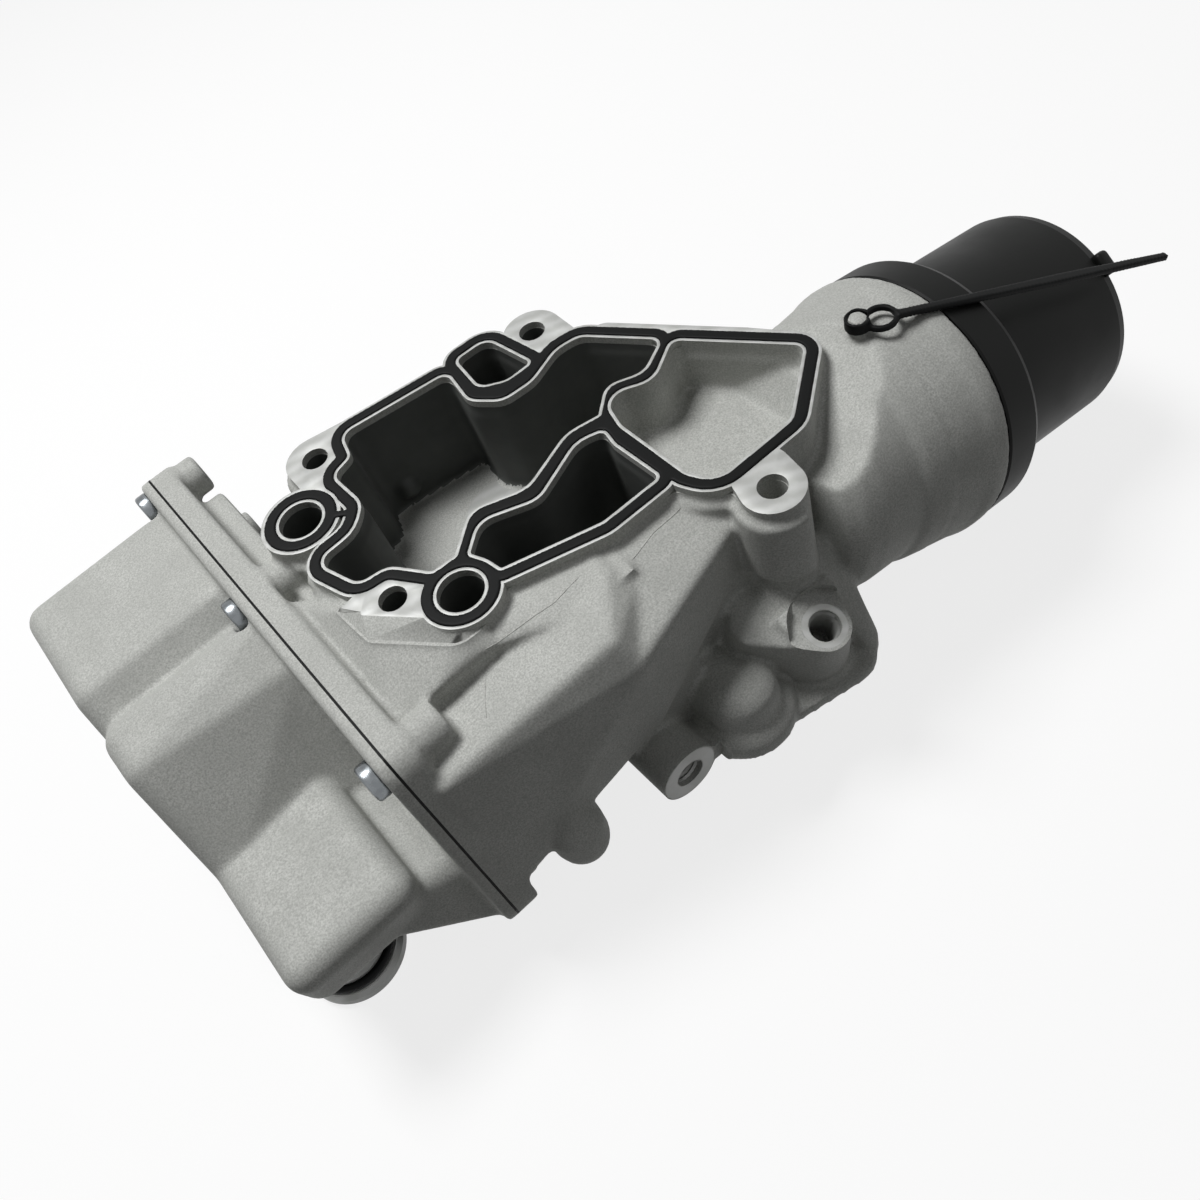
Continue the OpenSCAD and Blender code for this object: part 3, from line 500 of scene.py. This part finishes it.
# %% Casting tools
JOIN = 2e-7
FAR_SIDE = 0.05 * MM
SOFT_EDGE = math.radians(38)
ROUND_EDGE = math.radians(80)


def solid_copy(node):
    """A bmesh of a CAD part with its loose triangles joined

    Some triangles are only two thousandths of a millimetre high, so corners are joined at a tenth of that.
    """
    mesh = bmesh.new()
    mesh.from_mesh(parts[node].data)
    bmesh.ops.remove_doubles(mesh, verts=mesh.verts, dist=JOIN)
    return mesh


def blank(mesh, name):
    """A helper object that holds a bmesh while modifiers work on it"""
    data = bpy.data.meshes.new(name)
    mesh.to_mesh(data)
    mesh.free()
    made = bpy.data.objects.new(name, data)
    bpy.context.scene.collection.objects.link(made)
    return made


def worked(holder):
    """The bmesh that a helper object's modifiers give; the helper goes"""
    done = holder.evaluated_get(bpy.context.evaluated_depsgraph_get())
    mesh = bmesh.new()
    mesh.from_mesh(done.to_mesh())
    done.to_mesh_clear()
    data = holder.data
    bpy.data.objects.remove(holder)
    bpy.data.meshes.remove(data)
    return mesh


def carve(mesh, tool, operation="DIFFERENCE"):
    """The bmesh cut by a closed tool: INTERSECT keeps what is in it, DIFFERENCE what is outside

    The manifold solver is fast and leaves a closed mesh, but it does nothing to a mesh that is open.
    """
    if any(not e.is_manifold for e in mesh.edges):
        raise ValueError("the mesh to carve is open")
    holder = blank(mesh, "work")
    cutter = blank(tool, "tool")
    boolean = holder.modifiers.new("cut", "BOOLEAN")
    boolean.operation = operation
    boolean.solver = "MANIFOLD"
    boolean.object = cutter
    cut = worked(holder)
    data = cutter.data
    bpy.data.objects.remove(cutter)
    bpy.data.meshes.remove(data)
    return cut


def block(low, high, turn=Matrix()):
    """A box between two corners in millimetres, turned by a matrix"""
    low, high = Vector(low) * MM, Vector(high) * MM
    mesh = bmesh.new()
    bmesh.ops.create_cube(mesh, size=1)
    bmesh.ops.scale(mesh, vec=high - low, verts=mesh.verts)
    bmesh.ops.translate(mesh, vec=(low + high) / 2, verts=mesh.verts)
    bmesh.ops.transform(mesh, matrix=turn, verts=mesh.verts)
    return mesh


def rod(radius, low, high, turn):
    """A closed cylinder in millimetres along a frame's Z"""
    mesh = bmesh.new()
    bmesh.ops.create_cone(
        mesh, cap_ends=True, segments=64, radius1=radius * MM, radius2=radius * MM, depth=(high - low) * MM
    )
    bmesh.ops.translate(mesh, vec=(0, 0, (low + high) / 2 * MM), verts=mesh.verts)
    bmesh.ops.transform(mesh, matrix=turn, verts=mesh.verts)
    return mesh


def join(mesh, extra):
    """Adds a second closed mesh to the first; the remesh melts the two into one skin"""
    data = bpy.data.meshes.new("extra")
    extra.to_mesh(data)
    extra.free()
    mesh.from_mesh(data)
    bpy.data.meshes.remove(data)


def lengthen(mesh, thin, outwards):
    """Adds what a thin block holds of the casting, stretched outwards, so that its walls run on"""
    slice_ = carve(mesh.copy(), thin, "INTERSECT")
    step = Vector(outwards) * MM
    reach = max(v.co @ step for v in slice_.verts)
    far_side = [v for v in slice_.verts if (reach - v.co @ step) / step.length < FAR_SIDE]
    bmesh.ops.translate(slice_, vec=step, verts=far_side)
    join(mesh, slice_)


def soft_skin(mesh, square, rounds):
    """Rebuilds a closed mesh as an even skin and relaxes it, so that every edge gets a radius"""
    holder = blank(mesh, "blank")
    remesh = holder.modifiers.new("remesh", "REMESH")
    remesh.mode = "VOXEL"
    remesh.voxel_size = square
    relax = holder.modifiers.new("relax", "SMOOTH")
    relax.factor = 0.5
    relax.iterations = rounds
    return worked(holder)


def thinned(mesh, share):
    """Melts small triangles of a skin where it is nearly flat, down to a share of their number"""
    holder = blank(mesh, "dense")
    thin = holder.modifiers.new("thin", "DECIMATE")
    thin.ratio = share
    return worked(holder)


def show(mesh, name, finish, body, stands_for, smooth_angle=SOFT_EDGE):
    """Turns a bmesh into a shown piece that rides on a body and stands for CAD parts"""
    data = bpy.data.meshes.new(name)
    mesh.to_mesh(data)
    mesh.free()
    data.materials.append(finish)
    made = bpy.data.objects.new(name, data)
    bpy.context.scene.collection.objects.link(made)
    data.shade_smooth()
    data.set_sharp_from_angle(angle=smooth_angle)
    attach(made, body)
    if stands_for:
        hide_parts(*stands_for)
    print(name, "has", sum(len(p.vertices) - 2 for p in data.polygons), "triangles")
    return made


# %% [markdown]
# ## Main casting
#
# The casting takes the soft skin. Its flange, its seam face, the end of the front boss and the lug's face are
# milled, so the walls are lengthened there first. The flange's top, with the gasket groove, is kept as the
# CAD solid has it. The two threaded holes are opened up to the thread's outer diameter, because a real thread
# is added below. Two small forms in the oil pocket join the skin too: a vent dome on its back wall and the
# raised pad on its floor. Sizes and places are in millimetres.

# %% Main casting
FACE_CUT = -2.6
FLANGE_END = 132.5
ABOVE_CUT = ((-80, -140, FACE_CUT), (FLANGE_END, 140, 20))
SEAM = -46
BOSS_FACE = -58
LUG = Matrix.Translation(Vector((76, -64, -44)) * MM) @ Matrix.Rotation(math.radians(20), 4, "X")
BOSS = Matrix.Translation(Vector((20, BOSS_FACE, -67.6)) * MM) @ Matrix.Rotation(math.radians(90), 4, "X")
THREAD_R = 5
SQUARE = 1.1 * MM
PAST = 4
DOME_R = 4.6
DOME_PLACE = Vector((20.6, 83, -35)) * MM
PAD = Matrix.Translation(Vector((40, 48.5, 0)) * MM)
PAD_R = 16.5
KEPT_SHARE = 0.58

casting = solid_copy("main_housing")
lengthen(casting, block((-80, -140, FACE_CUT - 0.3), (FLANGE_END, 140, FACE_CUT)), (0, 0, PAST))
lengthen(casting, block((SEAM + 0.7, -140, -140), (SEAM + 1, 160, 20)), (-PAST, 0, 0))
lengthen(casting, block((6, BOSS_FACE + 0.7, -84), (34, BOSS_FACE + 1, -52)), (0, -PAST, 0))
lengthen(casting, block((-11, -11, -1), (11, 11, -0.7), LUG), LUG.to_3x3() @ Vector((0, 0, PAST)))

dome = bmesh.new()
bmesh.ops.create_uvsphere(dome, u_segments=32, v_segments=16, radius=DOME_R * MM)
bmesh.ops.translate(dome, vec=DOME_PLACE, verts=dome.verts)
join(casting, dome)
join(casting, rod(PAD_R, -45, -41.4, PAD))
casting = soft_skin(casting, SQUARE, 4)
casting = carve(casting, block(*ABOVE_CUT))
casting = carve(casting, block((SEAM - 20, -140, -140), (SEAM, 160, 20)))
for turn, reach, depth in ((LUG, 12, 17), (BOSS, 13.5, 19)):
    casting = carve(casting, rod(reach, 0, 20, turn))
    casting = carve(casting, rod(THREAD_R, -depth, 3, turn))
casting = thinned(casting, KEPT_SHARE)
casting_piece = show(casting, "casting_body", cast_alloy, "housing", ["main_housing"])

# %% [markdown]
# ## Milled flange
#
# The top of the flange keeps its sharp outline. Its loose triangles are merged back into whole faces, and the
# face's edges get a tiny bevel, as a cutter and a deburring tool leave it, so that it catches the light. Only
# the flat top is bare milled metal. The groove and the walls keep the casting's skin.

# %% Milled flange
RIM = 0.22 * MM

flange = carve(solid_copy("main_housing"), block(*ABOVE_CUT), "INTERSECT")
bmesh.ops.dissolve_limit(flange, angle_limit=math.radians(1), verts=flange.verts, edges=flange.edges)


def on_top(vertex):
    """True on the milled plane"""
    return abs(vertex.co.z) < 0.01 * MM


edges = [
    e
    for e in flange.edges
    if all(on_top(v) for v in e.verts) and e.is_manifold and e.calc_face_angle(0) > math.radians(40)
]
bmesh.ops.bevel(
    flange, geom=edges, offset=RIM, offset_type="OFFSET", segments=2, profile=0.5, affect="EDGES",
    clamp_overlap=True, material=-1,
)
bmesh.ops.triangulate(flange, faces=[f for f in flange.faces if len(f.verts) > 4])
flange_piece = show(flange, "flange_face", cast_alloy, "housing", ["main_housing"])
flange_piece.data.materials.append(milled_alloy)
for face in flange_piece.data.polygons:
    lowest = min(flange_piece.data.vertices[i].co.z for i in face.vertices)
    level = face.normal.z > 0.9999
    rim = 0.6 < face.normal.z < 0.95
    if lowest > -0.25 * MM and (level or rim):
        face.material_index = 1

# %% [markdown]
# ## Painted shade in the pockets
#
# The walls of the deep oil pockets get the darker material, painted shade where little light reaches, while
# the floors, which face up, keep the light cast colour. A wall is in such a pocket if the flange is found on
# all four sides of a point just in front of it. The shallow pocket over the bowl is open, so it gets no
# painted shade.
# The pad on the oil pocket's floor is faced off, so a thin bright disc lies on it.

# %% Painted shade in the pockets
deps = bpy.context.evaluated_depsgraph_get()
flange_tree = BVHTree.FromObject(flange_piece, deps)
SIDES = (Vector((1, 0, 0)), Vector((-1, 0, 0)), Vector((0, 1, 0)), Vector((0, -1, 0)))
SHALLOW_FROM = 69 * MM
SHALLOW_TO = 26 * MM
BAY_END = -35 * MM
IN_FRONT = 1.5 * MM
FLOOR = -37 * MM
LEVEL = -1.3 * MM


def walled_in(x, y):
    """True where the flange lies on all four sides"""
    return all(flange_tree.ray_cast(Vector((x, y, LEVEL)), side)[0] for side in SIDES)


# Painted shade: walls of the deep pockets take the dark material, which stands in for the shade that falls
# there.
casting_piece.data.materials.append(pocket_shade_material)
found = {}
for face in casting_piece.data.polygons:
    x, y, z = face.center + face.normal * IN_FRONT
    floor_face = face.normal.z > 0.75 and z < FLOOR
    over_bowl = x > SHALLOW_FROM and y < SHALLOW_TO
    if z < FACE_CUT * MM and x > BAY_END and not floor_face and not over_bowl:
        key = (round(x / MM), round(y / MM))
        if key not in found:
            found[key] = walled_in(x, y)
        if found[key]:
            face.material_index = 1
print("pocket faces", sum(f.material_index for f in casting_piece.data.polygons))

pad = rod(PAD_R - 0.2, -42.2, -41.3, PAD)
rims = [e for e in pad.edges if e.calc_face_angle(0) > 1]
bmesh.ops.bevel(
    pad, geom=rims, offset=0.3 * MM, offset_type="OFFSET", segments=2, profile=0.5, affect="EDGES",
    clamp_overlap=True, material=-1,
)
show(pad, "pocket_pad", milled_alloy, "housing", ["main_housing"])

# %% [markdown]
# ## Threads
#
# The boss and the lug are tapped M10, with a pitch of 1.5 mm. A tap leaves a helix, which is one turn of a
# small V swept round the axis and lifted as it goes. Bmesh's spin does that when each step also moves along
# the axis. Its surface is open, so it is turned by hand to face the axis of the hole.

# %% Threads
PITCH = 1.5
CREST_R = 4.3
ROOT_R = 4.95
LEAD_IN = 0.7
THREAD_EDGE = math.radians(50)


def thread(name, turn, depth):
    """The inner surface of a tapped hole as a helix, from its mouth downwards"""
    mesh = bmesh.new()
    heights = (0, 0.06, 0.44, 0.56, 0.94, 1)
    radii = (ROOT_R, ROOT_R, CREST_R, CREST_R, ROOT_R, ROOT_R)
    row = [mesh.verts.new((r * MM, 0, -h * PITCH * MM)) for r, h in zip(radii, heights)]
    line = [mesh.edges.new(pair) for pair in zip(row, row[1:])]
    turns = int(depth / PITCH)
    steps = 40
    bmesh.ops.spin(
        mesh,
        geom=row + line,
        cent=(0, 0, 0),
        axis=(0, 0, 1),
        dvec=(0, 0, -PITCH / steps * MM),
        angle=2 * math.pi * turns,
        steps=steps * turns,
        use_merge=False,
        use_duplicate=False,
    )
    bmesh.ops.remove_doubles(mesh, verts=mesh.verts, dist=0.01 * MM)
    bmesh.ops.translate(mesh, vec=(0, 0, -LEAD_IN * MM), verts=mesh.verts)
    bmesh.ops.recalc_face_normals(mesh, faces=mesh.faces)
    if sum(f.normal.xy.dot(f.calc_center_median().xy) for f in mesh.faces) > 0:
        bmesh.ops.reverse_faces(mesh, faces=mesh.faces)
    bmesh.ops.transform(mesh, matrix=turn, verts=mesh.verts)
    show(mesh, name, milled_alloy, "housing", ["main_housing"], THREAD_EDGE)


thread("lug_thread", LUG, 16)
thread("boss_thread", BOSS, 18)


# %% [markdown]
# ## Spot faces
#
# The boss and the lug are faced off with a small cutter, which leaves a bright ring round the thread. It is a
# thin washer of milled metal with a turned edge, a hair above the cast end.


# %% Spot faces
def washer(name, turn, inner, outer):
    """A thin ring in millimetres in a frame's XY plane, with soft rims"""
    mesh = bmesh.new()
    profile = (
        (inner, -0.8), (inner, -0.25), (inner + 0.3, 0.03),
        (outer - 0.2, 0.03), (outer, -0.15), (outer, -0.8),
    )
    row = [mesh.verts.new((r * MM, 0, z * MM)) for r, z in profile]
    line = [mesh.edges.new(pair) for pair in zip(row, row[1:] + row[:1])]
    bmesh.ops.spin(
        mesh, geom=row + line, cent=(0, 0, 0), axis=(0, 0, 1), angle=2 * math.pi, steps=96, use_merge=True,
        use_duplicate=False,
    )
    bmesh.ops.recalc_face_normals(mesh, faces=mesh.faces)
    bmesh.ops.transform(mesh, matrix=turn, verts=mesh.verts)
    show(mesh, name, milled_alloy, "housing", ["main_housing"])


washer("boss_ring", BOSS, THREAD_R, 10.2)
washer("lug_ring", LUG, THREAD_R, 7.2)

# %% [markdown]
# ## Cooler cover
#
# The cover is a casting too, so it gets the same soft skin. Only its mating face is milled flat.

# %% Cooler cover
COVER_FACE = -46.8
cover = solid_copy("cooler_cover")
lengthen(cover, block((COVER_FACE - 1, -140, -140), (COVER_FACE - 0.7, 160, 20)), (PAST, 0, 0))
cover = soft_skin(cover, SQUARE, 5)
cover = carve(cover, block((COVER_FACE, -140, -140), (COVER_FACE + 20, 160, 20)))
show(cover, "cover_casting", cast_alloy, "housing", ["cooler_cover"])

# %% [markdown]
# ## Flange gasket
#
# The gasket is a moulded bead. Its crown is round, so it gets the same soft skin with much smaller squares.

# %% Flange gasket
BEAD_SQUARE = 0.42 * MM

bead = soft_skin(solid_copy("flange_gasket"), BEAD_SQUARE, 5)
show(bead, "gasket_bead", rubber, "housing", ["flange_gasket"], ROUND_EDGE)

# %% [markdown]
# ## Cover screws
#
# Each cover screw is a turned steel head with rounded edges and a shallow dish, and a hexagon socket is
# pressed into the dish. The head is spun from half of its outline, and the socket is cut with a six-sided
# tool.


# %% Cover screws
HEAD_H = 4.2
SHANK_R = 3
SOCKET_R = 2.9
SOCKET_DEEP = 3.2
SCREWS = 8
EACH_TURNED = 17


def screw(number):
    """A socket screw along X in the place and size of its CAD part"""
    node = f"cover_screw_{number}"
    low, high = (Vector(c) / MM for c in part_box(node))
    radius = (high.y - low.y) / 2
    length = high.x - low.x
    outline = (
        (0, 0.55), (radius - 2.3, 0.5), (radius - 1.5, 0.1), (radius - 1.1, 0), (radius - 0.5, 0.18),
        (radius - 0.12, 0.6), (radius, 1.2), (radius, HEAD_H - 0.4), (radius - 0.15, HEAD_H),
        (SHANK_R, HEAD_H), (SHANK_R, length - 0.8), (SHANK_R - 0.8, length), (0, length),
    )
    mesh = bmesh.new()
    row = [mesh.verts.new((x * MM, r * MM, 0)) for r, x in outline]
    line = [mesh.edges.new(pair) for pair in zip(row, row[1:])]
    bmesh.ops.spin(
        mesh, geom=row + line, cent=(0, 0, 0), axis=(1, 0, 0), angle=2 * math.pi, steps=48, use_merge=True,
        use_duplicate=False,
    )
    bmesh.ops.remove_doubles(mesh, verts=mesh.verts, dist=0.001 * MM)
    bmesh.ops.recalc_face_normals(mesh, faces=mesh.faces)
    socket = bmesh.new()
    bmesh.ops.create_cone(
        socket, cap_ends=True, segments=6, radius1=SOCKET_R * MM, radius2=SOCKET_R * MM,
        depth=SOCKET_DEEP * 2 * MM,
    )
    angle = math.radians(EACH_TURNED * number)
    turn = Matrix.Rotation(math.radians(90), 4, "Y") @ Matrix.Rotation(angle, 4, "Z")
    bmesh.ops.transform(socket, matrix=turn, verts=socket.verts)
    mesh = carve(mesh, socket)
    middle = Vector((low.x, (low.y + high.y) / 2, (low.z + high.z) / 2)) * MM
    bmesh.ops.translate(mesh, vec=middle, verts=mesh.verts)
    show(mesh, f"socket_screw_{number}", zinc, "housing", [node], math.radians(30))


for number in range(1, SCREWS + 1):
    screw(number)

# %% [markdown]
# ## Strap
#
# The strap is moulded rubber with round edges. It gets the same treatment as the gasket.

# %% Strap
STRAP_SQUARE = 0.4 * MM

strap = soft_skin(solid_copy("retaining_strap"), STRAP_SQUARE, 4)
show(strap, "strap_skin", rubber, "housing", ["retaining_strap"], ROUND_EDGE)

# %% [markdown]
# ## Nub on the cap
#
# One small rounded stop is moulded on the rim of the cap's end. It is a block with wide bevels, half sunk
# into the rim, and it turns with the cap.

# %% Nub on the cap
CAP_TILT = math.radians(11.07)
CAP_FOOT = Vector((156.8, -19.1, -48.5))
CAP_END = 73.8
CAP_RADIUS = 38
NUB_ANGLE = math.radians(126)
NUB_HALF = Vector((3, 4.2, 2.6))
NUB_ROUND = 1.6

along = Vector((math.cos(CAP_TILT), 0, -math.sin(CAP_TILT)))
side = Vector((0, 1, 0))
radial = side * math.cos(NUB_ANGLE) + along.cross(side) * math.sin(NUB_ANGLE)
place = CAP_FOOT + along * CAP_END + radial * CAP_RADIUS
upright = Matrix((radial, along.cross(radial), along)).transposed().to_4x4()
nub = block(-NUB_HALF, NUB_HALF, Matrix.Translation(place * MM) @ upright)
bmesh.ops.bevel(
    nub,
    geom=nub.edges[:],
    offset=NUB_ROUND * MM,
    offset_type="OFFSET",
    segments=4,
    profile=0.5,
    affect="EDGES",
    clamp_overlap=True,
    material=-1,
)
bmesh.ops.recalc_face_normals(nub, faces=nub.faces)
show(nub, "cap_nub", nylon, "cap", [])

# %% [markdown]
# ## Lines from the die
#
# The halves and slides of a die leave hairlines on the casting: thin raised seams less than half a
# millimetre high. Each is given by a few points above the casting. Points between them are dropped onto the
# skin, and a fine round wire is laid through them, half sunk.

# %% Lines from the die
LINE_R = 0.16
LINE_STEP = 1.2
ABOVE = 30
DOWN = Vector((0, 0, -1))

deps = bpy.context.evaluated_depsgraph_get()
skin_tree = BVHTree.FromObject(casting_piece, deps)


def seam(name, points):
    """A fine raised line on the casting, through points in millimetres dropped onto it"""
    curve = bpy.data.curves.new(name, "CURVE")
    curve.dimensions = "3D"
    curve.bevel_depth = LINE_R * MM
    curve.bevel_resolution = 2
    dropped = []
    for start, end in zip(points, points[1:]):
        count = max(2, int((Vector(end) - Vector(start)).length / LINE_STEP))
        for k in range(count):
            spot = Vector(start).lerp(Vector(end), k / count) * MM
            found = skin_tree.ray_cast(spot - DOWN * ABOVE * MM, DOWN)[0]
            if found:
                dropped.append(found)
    line = curve.splines.new("POLY")
    line.points.add(len(dropped) - 1)
    for point, place in zip(line.points, dropped):
        point.co = (*place, 1)
    holder = bpy.data.objects.new(name, curve)
    bpy.context.scene.collection.objects.link(holder)
    done = holder.evaluated_get(bpy.context.evaluated_depsgraph_get())
    mesh = bmesh.new()
    mesh.from_mesh(done.to_mesh())
    done.to_mesh_clear()
    bpy.data.objects.remove(holder)
    show(mesh, name, cast_alloy, "housing", ["main_housing"], ROUND_EDGE)


seam("ramp_line", [(-10, -19, 10), (-15, -25, 5), (-19, -31, 5)])
seam("ridge_line", [(-6, -17, 5), (5, -19, 5), (17, -21, 5), (28, -20, 5)])
seam("roof_line", [(42, -26, 5), (52, -24, 5), (64, -24, 5)])

# %% [markdown]
# ## Parts that keep their CAD shape
#
# Turned, moulded and plated parts are right as the CAD model has them. They only get their finish.

# %% Finishes for the other parts
FINISHES = {
    "rubber": rubber,
    "black_plastic": nylon,
    "zinc_steel": zinc,
    "machined_aluminium": milled_alloy,
    "brazed_aluminium": brazed,
    "filter_paper": paper,
    "cast_aluminium": cast_alloy,
}
for row in frame["record"]["subparts"]:
    part = parts[row["node"]]
    part.data.materials.clear()
    part.data.materials.append(FINISHES[row["material_slot"]])
print("finished", len(parts), "parts")
